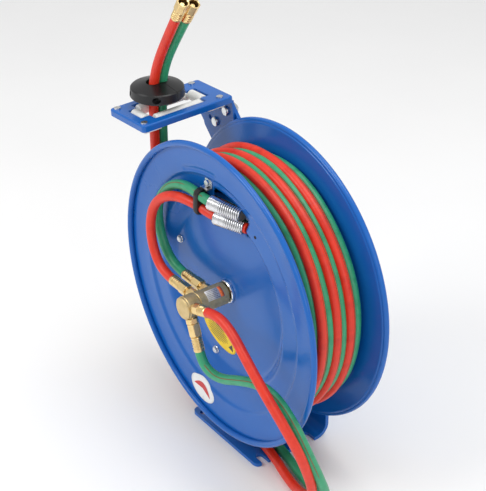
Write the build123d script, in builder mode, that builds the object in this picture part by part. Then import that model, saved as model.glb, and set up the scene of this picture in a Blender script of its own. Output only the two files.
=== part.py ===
from build123d import *
import math
import os

# Spring-driven hose reel for a twin (fuel + oxygen) gas hose.
# Frame: origin on the underside of the base plate, +Z up, the reel axis along Y,
# the swivel side facing -Y. All sizes in millimetres.

os.makedirs("parts", exist_ok=True)

# ---------------------------------------------------------------- driving dimensions
H = 232.0            # height of the reel axis above the floor
R_RIM = 203.0        # outer radius of both discs (406 mm, 16 in)
Y_RIM = 54.9         # half distance between the two rolled rims
BEAD = 4.0           # minor radius of the rolled rim
T_DISC = 1.6         # disc sheet thickness
R_CORE = 125.0       # winding core radius
R_PACK = 160.0       # outer radius of the plain winding solid
Y_FLAT = 35.0        # outer face of the flat middle of a disc
Y_RING = 47.0        # outer face of the middle ring
Y_FLANGE = 50.0      # outer face of the flange
HOSE_D = 12.7        # outer diameter of each hose line
R_AXLE = 12.5        # fixed axle radius
FIT = 0.05           # radial running clearance
PLATE = 5.0          # frame and arm plate thickness
BASE_X = 75.0        # half width of the base and of the post
BASE_Y0 = -46.0      # front edge of the base
POST_Y = 69.0        # front face of the post
POST_TOP = H + 62.0
ARM_DEG = 135.0      # direction of the guide arm
ARM_W = 80.0
ARM_END = 236.0
GUIDE = (-161.5, -9.8, H + 194.0)   # middle of the guide plate's top face
GUIDE_ROLL = 3.4     # degrees, right side higher
GUIDE_PITCH = 2.0    # degrees, arm end higher
ROLLER_R = 7.0
TEETH = 12           # ratchet teeth
R_TOOTH = 45.0
R_ROOT = 38.0
PAWL_X, PAWL_Z = 48.0, -38.0
HOLE_R = 5.25        # base holes for 10 mm bolts
NUT_AF = 14.3        # hex of the hose nuts


def at(x, y, z):
    """Point given about the reel axis, moved to the frame's height."""
    return (x, y, z + H)


def face(y, x=0.0, z=0.0):
    """Plane square to the reel axis; extrusion runs towards the front (-Y)."""
    return Plane(origin=(x, y, H + z), x_dir=(1, 0, 0), z_dir=(0, -1, 0))


def radial(y, deg, r):
    """Plane square to a radius of the reel axis, facing outwards."""
    a = math.radians(deg)
    return Plane(origin=(r * math.cos(a), y, H + r * math.sin(a)),
                 x_dir=(0, 1, 0), z_dir=(math.cos(a), 0, math.sin(a)))


def arm_plane(y):
    """Plane of the guide arm: local x runs along the arm, extrusion to the front."""
    a = math.radians(ARM_DEG)
    return Plane(origin=(0, y, H), x_dir=(math.cos(a), 0, math.sin(a)), z_dir=(0, -1, 0))


PROFILE = Plane(origin=(0, 0, H), x_dir=(0, 1, 0), z_dir=(1, 0, 0))   # local (y, radius)
AXIS = Axis((0, 0, H), (0, 1, 0))

# the guide plate's own plane
ga, gb = math.radians(GUIDE_ROLL), math.radians(GUIDE_PITCH)
GX = Vector(math.cos(ga), 0, math.sin(ga))
GZ = GX.cross(Vector(0, math.cos(gb), math.sin(gb))).normalized()
GY = GZ.cross(GX)
G = Plane(origin=GUIDE, x_dir=GX, z_dir=GZ)


def gpt(x, y, z):
    """Point in the guide plate's own coordinates."""
    return Vector(*GUIDE) + GX * x + GY * y + GZ * z


# ---------------------------------------------------------------- fixed frame
with BuildPart() as base_frame:
    with BuildSketch(Plane.YZ):
        with BuildLine():
            Line((BASE_Y0, 0), (54, 0))
            CenterArc((54, 20), 20, -90, 90)
            Line((74, 20), (74, POST_TOP))
            Line((74, POST_TOP), (POST_Y, POST_TOP))
            Line((POST_Y, POST_TOP), (POST_Y, 20))
            CenterArc((54, 20), 15, 0, -90)
            Line((54, PLATE), (BASE_Y0, PLATE))
            Line((BASE_Y0, PLATE), (BASE_Y0, 0))
        make_face()
    extrude(amount=BASE_X, both=True)
    fillet(base_frame.edges().filter_by(Axis.Z).group_by(Axis.Y)[0], radius=8)
    fillet(base_frame.edges().filter_by(Axis.Y).group_by(Axis.Z)[-1], radius=18)
    # two round holes on the left side of the base
    with BuildSketch(Plane.XY):
        with Locations((-60, -37), (-60, 45)):
            Circle(HOLE_R)
    extrude(amount=PLATE + 2, mode=Mode.SUBTRACT)
    # two slots open to the right
    with BuildSketch(Plane.XY):
        with Locations((57 + HOLE_R, -32), (57 + HOLE_R, 45)):
            Circle(HOLE_R)
        with Locations((57 + HOLE_R + 10, -32), (57 + HOLE_R + 10, 45)):
            Rectangle(20, 2 * HOLE_R)
    extrude(amount=PLATE + 2, mode=Mode.SUBTRACT)
    # axle hole, arm bolt holes and pawl pin hole in the post
    with BuildSketch(face(80)):
        Circle(R_AXLE + 0.1)
        with Locations((PAWL_X, PAWL_Z)):
            Circle(4.1)
    extrude(amount=16, mode=Mode.SUBTRACT)
    with BuildSketch(arm_plane(80)):
        with Locations((28, 28), (28, -28), (-28, 28), (-28, -28)):
            Circle(5.1)
    extrude(amount=16, mode=Mode.SUBTRACT)
base_frame.part.label = "base_frame"
export_step(base_frame.part, "parts/base_frame.step")

with BuildPart() as guide_arm:
    with BuildSketch(arm_plane(POST_Y)):
        with Locations(((ARM_END - 52) / 2, 0)):
            RectangleRounded(ARM_END + 52, ARM_W, 10)
        Circle(R_AXLE + 0.5, mode=Mode.SUBTRACT)
        with Locations((28, 28), (28, -28), (-28, 28), (-28, -28)):
            Circle(5.1, mode=Mode.SUBTRACT)
        with Locations((217.5, 6), (217.5, -28)):
            Circle(4.1, mode=Mode.SUBTRACT)
        with Locations((228, 14), (228, -19)):
            Circle(3.3, mode=Mode.SUBTRACT)
    extrude(amount=PLATE)
guide_arm.part.label = "guide_arm"
export_step(guide_arm.part, "parts/guide_arm.step")

# four bolts with their nuts
with BuildPart() as arm_fasteners:
    with BuildSketch(arm_plane(POST_Y - PLATE)):
        with Locations((28, 28), (28, -28), (-28, 28), (-28, -28)):
            RegularPolygon(8, 6, major_radius=False, rotation=30)
    extrude(amount=5.5)
    with BuildSketch(arm_plane(84)):
        with Locations((28, 28), (28, -28), (-28, 28), (-28, -28)):
            Circle(4.95)
    extrude(amount=84 - POST_Y + PLATE)
    with BuildSketch(arm_plane(82)):
        with Locations((28, 28), (28, -28), (-28, 28), (-28, -28)):
            RegularPolygon(8, 6, major_radius=False, rotation=30)
            Circle(5.0, mode=Mode.SUBTRACT)
    extrude(amount=8)
arm_fasteners.part.label = "arm_fasteners"
export_step(arm_fasteners.part, "parts/arm_fasteners.step")

# folded guide plate: a tray with a window, and a flange bolted to the arm
with BuildPart() as guide_bracket:
    with BuildSketch(G.offset(-9)):
        with Locations((0, 4.3)):
            RectangleRounded(82, 138.2, 5)
    extrude(amount=9)
    fillet(guide_bracket.faces().filter_by(lambda f: abs(f.normal_at().dot(GZ) - 1) < 1e-4)
           .edges(), radius=2.4)
    with BuildSketch(G.offset(-9.5)):
        with Locations((0, 4.3)):
            RectangleRounded(76, 132.2, 2.2)
    extrude(amount=6.5, mode=Mode.SUBTRACT)
    with BuildSketch(G.offset(-6)):
        Rectangle(58, 104)
        with Locations((29, 52), (-29, 52), (29, -52), (-29, -52)):
            Rectangle(26, 26, rotation=0, mode=Mode.SUBTRACT)
    extrude(amount=8, mode=Mode.SUBTRACT)
    with BuildSketch(face(63.9)):
        with BuildLine():
            Polyline((-202.0, 187.5), (-121.0, 192.0), (-117.5, 163.0), (-162.0, 115.5),
                     (-202.0, 156.0), close=True)
        make_face()
    extrude(amount=3)
    with BuildSketch(arm_plane(66)):
        with Locations((217.5, 6), (217.5, -28)):
            Circle(4.1)
        with Locations((228, 14), (228, -19)):
            Circle(3.3)
    extrude(amount=8, mode=Mode.SUBTRACT)
    with BuildSketch(G.offset(-6)):
        with Locations((32.3, 57.5), (-32.3, 57.5), (32.3, -57.5), (-32.3, -57.5)):
            Circle(2.6)
    extrude(amount=8, mode=Mode.SUBTRACT)
guide_bracket.part.label = "guide_bracket"
export_step(guide_bracket.part, "parts/guide_bracket.step")

# two round-head bolts with their nuts
with BuildPart() as bracket_fasteners:
    with BuildSketch(arm_plane(60.9)):
        with Locations((217.5, 6), (217.5, -28)):
            Circle(6.6)
    extrude(amount=3.6)
    fillet(bracket_fasteners.faces().sort_by(Axis.Y)[0:2].edges(), radius=2)
    with BuildSketch(arm_plane(78)):
        with Locations((217.5, 6), (217.5, -28)):
            Circle(3.95)
    extrude(amount=17.1)
    with BuildSketch(arm_plane(75.5)):
        with Locations((217.5, 6), (217.5, -28)):
            RegularPolygon(6.5, 6, major_radius=False, rotation=30)
            Circle(4.0, mode=Mode.SUBTRACT)
    extrude(amount=6.5)
bracket_fasteners.part.label = "bracket_fasteners"
export_step(bracket_fasteners.part, "parts/bracket_fasteners.step")

# ---------------------------------------------------------------- roller guide
LONG_X, LONG_L = 20.5, 69.0      # long rollers: offset and length
SHORT_Y, SHORT_L = 43.5, 28.0    # short rollers: offset and length
ROLL_Z = -5.6

with BuildPart() as roller_blocks:
    for sx in (-1, 1):
        for sy in (-1, 1):
            with BuildSketch(G.offset(-12)):
                with Locations((sx * 26.2, sy * 48.4)):
                    RectangleRounded(22.8, 26.4, 2)
            extrude(amount=9)
    # sockets for the roller pins and the rivets
    for sx in (-1, 1):
        with BuildSketch(Plane(origin=gpt(sx * LONG_X, -41, ROLL_Z), x_dir=GX, z_dir=GY)):
            Circle(2.5)
        extrude(amount=82, mode=Mode.SUBTRACT)
    for sy in (-1, 1):
        with BuildSketch(Plane(origin=gpt(-17.8, sy * SHORT_Y, ROLL_Z), x_dir=GY, z_dir=GX)):
            Circle(2.5)
        extrude(amount=35.6, mode=Mode.SUBTRACT)
    with BuildSketch(G.offset(-13)):
        with Locations((32.3, 57.5), (-32.3, 57.5), (32.3, -57.5), (-32.3, -57.5)):
            Circle(2.6)
    extrude(amount=12, mode=Mode.SUBTRACT)
roller_blocks.part.label = "roller_blocks"
export_step(roller_blocks.part, "parts/roller_blocks.step")

with BuildPart() as roller_pins:
    for sx in (-1, 1):
        with BuildSketch(Plane(origin=gpt(sx * LONG_X, -40.6, ROLL_Z), x_dir=GX, z_dir=GY)):
            Circle(2.45)
        extrude(amount=81.2)
    for sy in (-1, 1):
        with BuildSketch(Plane(origin=gpt(-17.4, sy * SHORT_Y, ROLL_Z), x_dir=GY, z_dir=GX)):
            Circle(2.45)
        extrude(amount=34.8)
roller_pins.part.label = "roller_pins"
export_step(roller_pins.part, "parts/roller_pins.step")

with BuildPart() as guide_rivets:
    with BuildSketch(G.offset(0.0)):
        with Locations((32.3, 57.5), (-32.3, 57.5), (32.3, -57.5), (-32.3, -57.5)):
            Circle(4.4)
    extrude(amount=1.8)
    with BuildSketch(G.offset(-12)):
        with Locations((32.3, 57.5), (-32.3, 57.5), (32.3, -57.5), (-32.3, -57.5)):
            Circle(2.5)
    extrude(amount=13)
guide_rivets.part.label = "guide_rivets"
export_step(guide_rivets.part, "parts/guide_rivets.step")

with BuildPart() as roller_left:
    with BuildSketch(Plane(origin=gpt(-LONG_X, -LONG_L / 2, ROLL_Z), x_dir=GX, z_dir=GY)):
        Circle(ROLLER_R)
        Circle(2.45 + FIT, mode=Mode.SUBTRACT)
    extrude(amount=LONG_L)
    chamfer(roller_left.edges().filter_by(GeomType.CIRCLE)
            .filter_by(lambda e: e.radius > 6), length=0.9)
roller_left.part.label = "roller_left"
export_step(roller_left.part, "parts/roller_left.step")

with BuildPart() as roller_right:
    with BuildSketch(Plane(origin=gpt(LONG_X, -LONG_L / 2, ROLL_Z), x_dir=GX, z_dir=GY)):
        Circle(ROLLER_R)
        Circle(2.45 + FIT, mode=Mode.SUBTRACT)
    extrude(amount=LONG_L)
    chamfer(roller_right.edges().filter_by(GeomType.CIRCLE)
            .filter_by(lambda e: e.radius > 6), length=0.9)
roller_right.part.label = "roller_right"
export_step(roller_right.part, "parts/roller_right.step")

with BuildPart() as roller_front:
    with BuildSketch(Plane(origin=gpt(-SHORT_L / 2, -SHORT_Y, ROLL_Z), x_dir=GY, z_dir=GX)):
        Circle(ROLLER_R)
        Circle(2.45 + FIT, mode=Mode.SUBTRACT)
    extrude(amount=SHORT_L)
    chamfer(roller_front.edges().filter_by(GeomType.CIRCLE)
            .filter_by(lambda e: e.radius > 6), length=0.9)
roller_front.part.label = "roller_front"
export_step(roller_front.part, "parts/roller_front.step")

with BuildPart() as roller_back:
    with BuildSketch(Plane(origin=gpt(-SHORT_L / 2, SHORT_Y, ROLL_Z), x_dir=GY, z_dir=GX)):
        Circle(ROLLER_R)
        Circle(2.45 + FIT, mode=Mode.SUBTRACT)
    extrude(amount=SHORT_L)
    chamfer(roller_back.edges().filter_by(GeomType.CIRCLE)
            .filter_by(lambda e: e.radius > 6), length=0.9)
roller_back.part.label = "roller_back"
export_step(roller_back.part, "parts/roller_back.step")

# ---------------------------------------------------------------- fixed axle
with BuildPart() as main_axle:
    with BuildSketch(PROFILE):
        with BuildLine():
            Polyline((-31, 0), (-31, R_AXLE), (88, R_AXLE), (90, R_AXLE - 2), (90, 0), close=True)
        make_face()
    revolve(axis=AXIS)
main_axle.part.label = "main_axle"
export_step(main_axle.part, "parts/main_axle.step")

with BuildPart() as axle_spacer:
    with BuildSketch(face(POST_Y - PLATE)):
        Circle(19)
        Circle(R_AXLE + 0.1, mode=Mode.SUBTRACT)
    extrude(amount=13)
axle_spacer.part.label = "axle_spacer"
export_step(axle_spacer.part, "parts/axle_spacer.step")

# washer and lock nut behind the post
with BuildPart() as axle_fasteners:
    with BuildSketch(face(76.5)):
        Circle(22)
        Circle(R_AXLE + 0.1, mode=Mode.SUBTRACT)
    extrude(amount=2.5)
    with BuildSketch(face(86.5)):
        RegularPolygon(19, 6, major_radius=False, rotation=30)
        Circle(R_AXLE + 0.1, mode=Mode.SUBTRACT)
    extrude(amount=10)
axle_fasteners.part.label = "axle_fasteners"
export_step(axle_fasteners.part, "parts/axle_fasteners.step")

# ---------------------------------------------------------------- swivel, fixed half
INLET_Y = -94.5
FUEL_DEG, OXY_DEG = 17.0, -69.0

with BuildPart() as swivel_stem:
    with BuildSketch(face(-31)):
        Circle(6.5)
    extrude(amount=58)
swivel_stem.part.label = "swivel_stem"
export_step(swivel_stem.part, "parts/swivel_stem.step")

with BuildPart() as inlet_manifold:
    with BuildSketch(PROFILE):
        with BuildLine():
            Polyline((-84.3, 6.6), (-84.3, 14.2), (-85.3, 15.2), (-100.5, 15.2), (-101.5, 14.2),
                     (-101.5, 0), (-89.1, 0), (-89.1, 6.6), close=True)
        make_face()
    revolve(axis=AXIS)
    with BuildSketch(radial(INLET_Y, FUEL_DEG, 11)):
        Circle(5.9)
    extrude(amount=6, mode=Mode.SUBTRACT)
    with BuildSketch(radial(INLET_Y, OXY_DEG, 11)):
        Circle(5.9)
    extrude(amount=6, mode=Mode.SUBTRACT)
inlet_manifold.part.label = "inlet_manifold"
export_step(inlet_manifold.part, "parts/inlet_manifold.step")

with BuildPart() as manifold_cap:
    with BuildSketch(PROFILE):
        with BuildLine():
            Polyline((-101.5, 0), (-101.5, 14.6), (-103.4, 14.6), (-104.4, 13.4), (-104.4, 0),
                     close=True)
        make_face()
    revolve(axis=AXIS)
manifold_cap.part.label = "manifold_cap"
export_step(manifold_cap.part, "parts/manifold_cap.step")

with BuildPart() as inlet_adapters:
    with BuildSketch(radial(INLET_Y, FUEL_DEG, 11)):
        Circle(5.8)
    extrude(amount=7)
    with BuildSketch(radial(INLET_Y, FUEL_DEG, 15.4)):
        Circle(8)
    extrude(amount=2.6)
    with BuildSketch(radial(INLET_Y, OXY_DEG, 11)):
        Circle(5.8)
    extrude(amount=11)
    with BuildSketch(radial(INLET_Y, OXY_DEG, 15.4)):
        RegularPolygon(7.3, 6, major_radius=False, rotation=30)
    extrude(amount=6.6)
inlet_adapters.part.label = "inlet_adapters"
export_step(inlet_adapters.part, "parts/inlet_adapters.step")

with BuildPart() as inlet_nuts:
    with BuildSketch(radial(INLET_Y, FUEL_DEG, 18)):
        RegularPolygon(NUT_AF / 2, 6, major_radius=False, rotation=30)
    extrude(amount=11)
    with BuildSketch(radial(INLET_Y, OXY_DEG, 22)):
        RegularPolygon(NUT_AF / 2, 6, major_radius=False, rotation=30)
    extrude(amount=17)
inlet_nuts.part.label = "inlet_nuts"
export_step(inlet_nuts.part, "parts/inlet_nuts.step")

with BuildPart() as inlet_ferrules:
    with BuildSketch(radial(INLET_Y, FUEL_DEG, 29)):
        Circle(6.9)
    extrude(amount=14.4)
    with BuildSketch(radial(INLET_Y, OXY_DEG, 39)):
        Circle(6.9)
    extrude(amount=20.5)
inlet_ferrules.part.label = "inlet_ferrules"
export_step(inlet_ferrules.part, "parts/inlet_ferrules.step")

# ---------------------------------------------------------------- swivel, turning half
WHIP_FUEL_Y, WHIP_OXY_Y = -75.5, -55.0

with BuildPart() as swivel_rotor:
    with BuildSketch(PROFILE):
        with BuildLine():
            Polyline((-32, 6.5 + FIT), (-32, 9.5), (-41, 9.5), (-42.5, 14.6), (-82.9, 14.6),
                     (-83.9, 13.6), (-83.9, 6.5 + FIT), close=True)
        make_face()
    revolve(axis=AXIS)
    for y in (WHIP_FUEL_Y, WHIP_OXY_Y):
        with BuildSketch(radial(y, 180, 10)):
            Circle(6.6)
        extrude(amount=8, mode=Mode.SUBTRACT)
swivel_rotor.part.label = "swivel_rotor"
export_step(swivel_rotor.part, "parts/swivel_rotor.step")

with BuildPart() as whip_adapters:
    for y in (WHIP_FUEL_Y, WHIP_OXY_Y):
        with BuildSketch(radial(y, 180, 10)):
            Circle(6.5)
        extrude(amount=19)
        with BuildSketch(radial(y, 180, 15)):
            RegularPolygon(6.9, 6, major_radius=False, rotation=30)
        extrude(amount=9)
whip_adapters.part.label = "whip_adapters"
export_step(whip_adapters.part, "parts/whip_adapters.step")

with BuildPart() as whip_nuts:
    for y in (WHIP_FUEL_Y, WHIP_OXY_Y):
        with BuildSketch(radial(y, 180, 29)):
            RegularPolygon(NUT_AF / 2, 6, major_radius=False, rotation=30)
        extrude(amount=15)
whip_nuts.part.label = "whip_nuts"
export_step(whip_nuts.part, "parts/whip_nuts.step")

with BuildPart() as whip_ferrules:
    with BuildSketch(radial(WHIP_FUEL_Y, 180, 44)):
        Circle(6.9)
    extrude(amount=20.5)
    with BuildSketch(radial(WHIP_OXY_Y, 180, 44)):
        Circle(6.9)
    extrude(amount=22.5)
whip_ferrules.part.label = "whip_ferrules"
export_step(whip_ferrules.part, "parts/whip_ferrules.step")

# ---------------------------------------------------------------- drum
def disc_profile(s):
    """Half section of a pressed disc; s = -1 front, +1 back. Local (y, radius)."""
    t = T_DISC
    Polyline((s * Y_FLAT, 15.1), (s * Y_FLAT, 113), (s * Y_RING, 129), (s * Y_RING, 157.6),
             (s * Y_FLANGE, 160.6), (s * Y_FLANGE, 170), (s * (Y_FLANGE + 1.8), 197),
             (s * (Y_FLANGE + 0.2), 198.6), (s * (Y_FLANGE - t), 170.2),
             (s * (Y_FLANGE - t), 161.4), (s * (Y_RING - t), 158.4), (s * (Y_RING - t), 129.8),
             (s * (Y_FLAT - t), 113.8), (s * (Y_FLAT - t), 15.1), close=True)


SCREW_DEG = [165, 255, 345, 75]
FRONT_SCREW_DEG = [165, 255, 75]    # three hold the front disc

with BuildPart() as front_disc:
    with BuildSketch(PROFILE):
        with BuildLine():
            disc_profile(-1)
        make_face()
    revolve(axis=AXIS)
    with BuildSketch(PROFILE):
        with Locations((-Y_RIM, R_RIM - BEAD)):
            Circle(BEAD)
    revolve(axis=AXIS)
    # arc slot where the two lines pass through the disc
    with BuildSketch(face(-30)):
        with BuildLine():
            CenterArc((0, 0), 149, 64, 30)
            CenterArc((0, 0), 109, 64, 30)
            for a in (64, 94):
                c, n = math.cos(math.radians(a)), math.sin(math.radians(a))
                Line((109 * c, 109 * n), (149 * c, 149 * n))
        make_face()
    extrude(amount=24, mode=Mode.SUBTRACT)
    # screw holes, a plain hole and a slit
    with BuildSketch(face(-30)):
        for a in FRONT_SCREW_DEG:
            with Locations((108.5 * math.cos(math.radians(a)), 108.5 * math.sin(math.radians(a)))):
                Circle(2.6)
        with Locations((75, 116.8)):
            Circle(2.0)
        with Locations((66.5, 134.5)):
            SlotOverall(5.5, 1.8, rotation=-26)
    extrude(amount=24, mode=Mode.SUBTRACT)
front_disc.part.label = "front_disc"
export_step(front_disc.part, "parts/front_disc.step")

with BuildPart() as back_disc:
    with BuildSketch(PROFILE):
        with BuildLine():
            disc_profile(1)
        make_face()
    revolve(axis=AXIS)
    with BuildSketch(PROFILE):
        with Locations((Y_RIM, R_RIM - BEAD)):
            Circle(BEAD)
    revolve(axis=AXIS)
    with BuildSketch(face(60)):
        for a in SCREW_DEG:
            with Locations((108.5 * math.cos(math.radians(a)), 108.5 * math.sin(math.radians(a)))):
                Circle(2.6)
    extrude(amount=30, mode=Mode.SUBTRACT)
back_disc.part.label = "back_disc"
export_step(back_disc.part, "parts/back_disc.step")

with BuildPart() as drum_core:
    with BuildSketch(PROFILE):
        with BuildLine():
            Polyline((-33.3, 101), (-33.3, 112.5), (-31.5, 122.5), (-31.5, 123.2), (-40, 123.2),
                     (-40, R_CORE), (40, R_CORE), (40, 123.2), (31.5, 123.2), (31.5, 122.5),
                     (33.3, 112.5), (33.3, 101), (31.7, 101), (29.9, 121.4), (-29.9, 121.4),
                     (-31.7, 101), close=True)
        make_face()
    revolve(axis=AXIS)
    # notch under the disc slot, where the lines join the winding
    with BuildSketch(face(-29, 36, 124)):
        Rectangle(84, 48)
    extrude(amount=16, mode=Mode.SUBTRACT)
    with BuildSketch(face(36)):
        for a in SCREW_DEG:
            with Locations((108.5 * math.cos(math.radians(a)), 108.5 * math.sin(math.radians(a)))):
                Circle(2.6)
    extrude(amount=36, mode=Mode.SUBTRACT)
    with BuildSketch(face(0)):
        for a in FRONT_SCREW_DEG:
            with Locations((108.5 * math.cos(math.radians(a)), 108.5 * math.sin(math.radians(a)))):
                Circle(2.6)
    extrude(amount=36, mode=Mode.SUBTRACT)
drum_core.part.label = "drum_core"
export_step(drum_core.part, "parts/drum_core.step")

with BuildPart() as drum_screws:
    for a in SCREW_DEG:
        x, z = 108.5 * math.cos(math.radians(a)), 108.5 * math.sin(math.radians(a))
        if a in FRONT_SCREW_DEG:
            with BuildSketch(face(-Y_FLAT, x, z)):
                Circle(4.6)
            extrude(amount=2.8)
            with BuildSketch(face(-27, x, z)):
                Circle(2.5)
            extrude(amount=9)
        with BuildSketch(face(Y_FLAT + 2.8, x, z)):
            Circle(4.6)
        extrude(amount=2.8)
        with BuildSketch(face(Y_FLAT + 1, x, z)):
            Circle(2.5)
        extrude(amount=9)
drum_screws.part.label = "drum_screws"
export_step(drum_screws.part, "parts/drum_screws.step")

# a bearing hub and a plain bushing behind the middle of each disc
with BuildPart() as bearing_hubs:
    with BuildSketch(face(-15)):
        Circle(28)
        Circle(18, mode=Mode.SUBTRACT)
    extrude(amount=Y_FLAT - T_DISC - 15)
    with BuildSketch(face(Y_FLAT - T_DISC)):
        Circle(28)
        Circle(18, mode=Mode.SUBTRACT)
    extrude(amount=Y_FLAT - T_DISC - 15)
bearing_hubs.part.label = "bearing_hubs"
export_step(bearing_hubs.part, "parts/bearing_hubs.step")

with BuildPart() as drum_bushings:
    with BuildSketch(face(-16)):
        Circle(17.95)
        Circle(R_AXLE + FIT, mode=Mode.SUBTRACT)
    extrude(amount=14)
    with BuildSketch(face(30)):
        Circle(17.95)
        Circle(R_AXLE + FIT, mode=Mode.SUBTRACT)
    extrude(amount=14)
drum_bushings.part.label = "drum_bushings"
export_step(drum_bushings.part, "parts/drum_bushings.step")

with BuildPart() as hub_ring:
    with BuildSketch(PROFILE):
        with BuildLine():
            Polyline((-33.4, 12.4), (-33.4, 15.0), (-35.1, 15.0), (-35.1, 15.4), (-38.4, 15.4),
                     (-39.2, 14.6), (-39.2, 12.4), close=True)
        make_face()
    revolve(axis=AXIS)
hub_ring.part.label = "hub_ring"
export_step(hub_ring.part, "parts/hub_ring.step")

with BuildPart() as hub_seal:
    with BuildSketch(face(-33.6)):
        Circle(12.3)
        Circle(9.55, mode=Mode.SUBTRACT)
    extrude(amount=4.6)
hub_seal.part.label = "hub_seal"
export_step(hub_seal.part, "parts/hub_seal.step")

with BuildPart() as spring_case:
    with BuildSketch(PROFILE):
        with BuildLine():
            Polyline((4, 14), (4, 96), (33.3, 96), (33.3, 94.5), (5.5, 94.5), (5.5, 14), close=True)
        make_face()
    revolve(axis=AXIS)
spring_case.part.label = "spring_case"
export_step(spring_case.part, "parts/spring_case.step")

# flat spiral power spring, drawn as half circles about two centres
COIL_R0, COIL_P, COIL_N, COIL_T = 33.0, 7.0, 16, 0.6
with BuildPart() as main_spring:
    with BuildSketch(face(31)):
        with BuildLine():
            for k in range(COIL_N):
                r = COIL_R0 + k * COIL_P / 2
                c = 0.0 if k % 2 == 0 else COIL_P / 2
                start = 0 if k % 2 == 0 else 180
                CenterArc((c, 0), r + COIL_T, start, 180)
                CenterArc((c, 0), r - COIL_T, start, 180)
            Line((COIL_R0 - COIL_T, 0), (COIL_R0 + COIL_T, 0))
            r_end = COIL_R0 + COIL_N * COIL_P / 2
            Line((r_end - COIL_T, 0), (r_end + COIL_T, 0))
        make_face()
    extrude(amount=23)
main_spring.part.label = "main_spring"
export_step(main_spring.part, "parts/main_spring.step")

# ratchet wheel: radial faces block rewinding, sloping backs let the hose pay out
with BuildPart() as ratchet_wheel:
    with BuildSketch(face(43)):
        with BuildLine():
            pts = []
            for k in range(TEETH):
                a = math.radians(-79.0 + 360 / TEETH * k)
                pts.append((R_TOOTH * math.cos(a), R_TOOTH * math.sin(a)))
                pts.append((R_ROOT * math.cos(a), R_ROOT * math.sin(a)))
            Polyline(*pts, close=True)
        make_face()
        Circle(13.2, mode=Mode.SUBTRACT)
        with PolarLocations(24, 4):
            Circle(3.1, mode=Mode.SUBTRACT)
    extrude(amount=8)
ratchet_wheel.part.label = "ratchet_wheel"
export_step(ratchet_wheel.part, "parts/ratchet_wheel.step")

with BuildPart() as ratchet_screws:
    with BuildSketch(face(47)):
        with PolarLocations(24, 4):
            Circle(5)
    extrude(amount=4)
    with BuildSketch(face(44)):
        with PolarLocations(24, 4):
            Circle(3.0)
    extrude(amount=9)
ratchet_screws.part.label = "ratchet_screws"
export_step(ratchet_screws.part, "parts/ratchet_screws.step")

# pawl, engaged behind a tooth face at rest
TIP_DEG = -79.0
tip_a = math.radians(TIP_DEG)
tip_r, tip_t = (math.cos(tip_a), math.sin(tip_a)), (-math.sin(tip_a), math.cos(tip_a))


def tip_pt(radius, along):
    """Point at a radius, and a distance past the tooth face along the rim."""
    return (tip_r[0] * radius + tip_t[0] * along, tip_r[1] * radius + tip_t[1] * along)


with BuildPart() as pawl:
    with BuildSketch(face(42)):
        with Locations((PAWL_X, PAWL_Z)):
            Circle(8)
        with BuildLine():
            Polyline(tip_pt(41.2, 0.6), tip_pt(49.0, 0.6), (PAWL_X - 2.5, PAWL_Z - 7.4),
                     (PAWL_X - 2.5, PAWL_Z + 7.0), tip_pt(48.5, 17), tip_pt(41.2, 5.2), close=True)
        make_face()
        with Locations((PAWL_X, PAWL_Z)):
            Circle(4 + FIT, mode=Mode.SUBTRACT)
    extrude(amount=5)
pawl.part.label = "pawl"
export_step(pawl.part, "parts/pawl.step")

with BuildPart() as pawl_pin:
    with BuildSketch(face(74, PAWL_X, PAWL_Z)):
        Circle(4)
    extrude(amount=38)
    with BuildSketch(face(36.7, PAWL_X, PAWL_Z)):
        Circle(6)
    extrude(amount=0.7)
pawl_pin.part.label = "pawl_pin"
export_step(pawl_pin.part, "parts/pawl_pin.step")

with BuildPart() as pawl_spring:
    with BuildSketch(face(POST_Y, PAWL_X, PAWL_Z)):
        Circle(6.4)
        Circle(4.1, mode=Mode.SUBTRACT)
    extrude(amount=POST_Y - 43)
pawl_spring.part.label = "pawl_spring"
export_step(pawl_spring.part, "parts/pawl_spring.step")

# plain solid for the wound twin hose
with BuildPart() as hose_pack:
    with BuildSketch(face(41.8)):
        Circle(R_PACK)
        Circle(R_CORE + 0.6, mode=Mode.SUBTRACT)
    extrude(amount=41.8 + 35.0)
hose_pack.part.label = "hose_pack"
export_step(hose_pack.part, "parts/hose_pack.step")

# ---------------------------------------------------------------- hoses
def corner_radii(points):
    """Each corner takes 0.45 of its shorter run, over the tangent of half its turn."""
    out = []
    for a, b, c in zip(points, points[1:], points[2:]):
        u, v = Vector(*b) - Vector(*a), Vector(*c) - Vector(*b)
        turn = math.radians(u.get_angle(v))
        out.append(0.45 * min(u.length, v.length) / math.tan(turn / 2))
    return out


def hose_tube(points, name):
    """Plain round tube along straight runs joined by tangent arcs."""
    radii = corner_radii(points)
    with BuildPart() as tube:
        with BuildLine() as path:
            FilletPolyline(*points, radius=radii)
        with BuildSketch(Plane(path.line @ 0, z_dir=path.line % 0)):
            Circle(HOSE_D / 2)
        sweep()
    length = sum(edge.length for edge in path.edges())
    ratio = tube.part.volume / (math.pi * (HOSE_D / 2) ** 2 * length)
    runs = [(Vector(*b) - Vector(*a)).length for a, b in zip(points, points[1:])]
    print(f"{name}: length {length:.1f}, volume/section*length {ratio:.4f}, "
          f"radii {[round(r) for r in radii]}, runs {[round(r) for r in runs]}")
    tube.part.label = name
    export_step(tube.part, f"parts/{name}.step")
    return tube


# lines from the winding, through the guide and the ball stop, up to the free ends
FUEL_OUT = [at(-168, -29.2, 0), at(-168, -29.2, 100), at(-167.4, -29.2, 212),
            at(-158, -29.3, 246), at(-137, -29.8, 284), at(-104, -31.0, 331.2)]
OXY_OUT = [at(-168, -16.5, 0), at(-168, -16.5, 100), at(-167.2, -16.5, 212),
           at(-158.8, -16.4, 245), at(-138, -15.8, 282), at(-109.2, -14.0, 323.7)]
fuel_outlet_hose = hose_tube(FUEL_OUT, "fuel_outlet_hose")
oxygen_outlet_hose = hose_tube(OXY_OUT, "oxygen_outlet_hose")

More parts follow.
